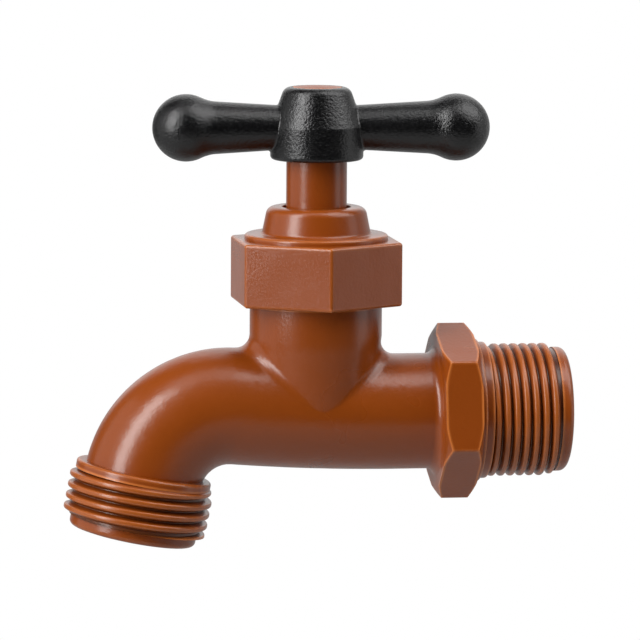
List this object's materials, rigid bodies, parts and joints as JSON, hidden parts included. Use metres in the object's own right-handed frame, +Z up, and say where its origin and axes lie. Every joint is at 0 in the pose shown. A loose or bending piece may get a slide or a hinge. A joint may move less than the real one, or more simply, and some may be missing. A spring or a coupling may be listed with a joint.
{
  "type": "water butt tap",
  "caption": "Moulded plastic screw-down tap with a threaded inlet, hexagon, upright bonnet, bent spout with a hose thread and a black T-handle that lifts the washer off its seat.",
  "frame": {"origin": "on the inlet axis, at the inner end of the inlet thread, where it meets the plain collar", "axes": "+X along the inlet thread, out of the tap and into the water butt; +Z up along the spindle; the spout leaves towards -X"},
  "size_m": [0.1004, 0.036, 0.0911],
  "materials": {
    "moulded_body": "terracotta brown moulded plastic, satin gloss",
    "handle_plastic": "black plastic with a fine grain",
    "seal_rubber": "matt black rubber",
    "valve_brass": "turned brass",
    "screw_steel": "plain steel"
  },
  "bodies": {
    "tap": {"tap_body": "moulded_body", "bonnet": "moulded_body", "bonnet_gasket": "seal_rubber"},
    "valve": {"jumper": "valve_brass", "tap_washer": "seal_rubber", "washer_screw": "valve_brass"},
    "spindle_and_handle": {"spindle": "moulded_body", "spindle_o_ring_lower": "seal_rubber", "spindle_o_ring_upper": "seal_rubber", "handle": "handle_plastic", "handle_screw": "screw_steel", "handle_screw_washer": "screw_steel", "handle_cap": "moulded_body"}
  },
  "joints": [
    {"name": "valve_lift", "type": "slide", "parent": "tap", "child": "valve", "axis": [0, 0, 1], "range_m": [0, 0.004]},
    {"name": "handle_turn", "type": "hinge", "parent": "valve", "child": "spindle_and_handle", "pos_m": [-0.034, 0, 0.05], "axis": [0, 0, 1], "range_deg": [0, 480]}
  ],
  "couplings": [
    {"joint": "valve_lift", "follows": "handle_turn", "m_per_rad": 0.000477}
  ]
}
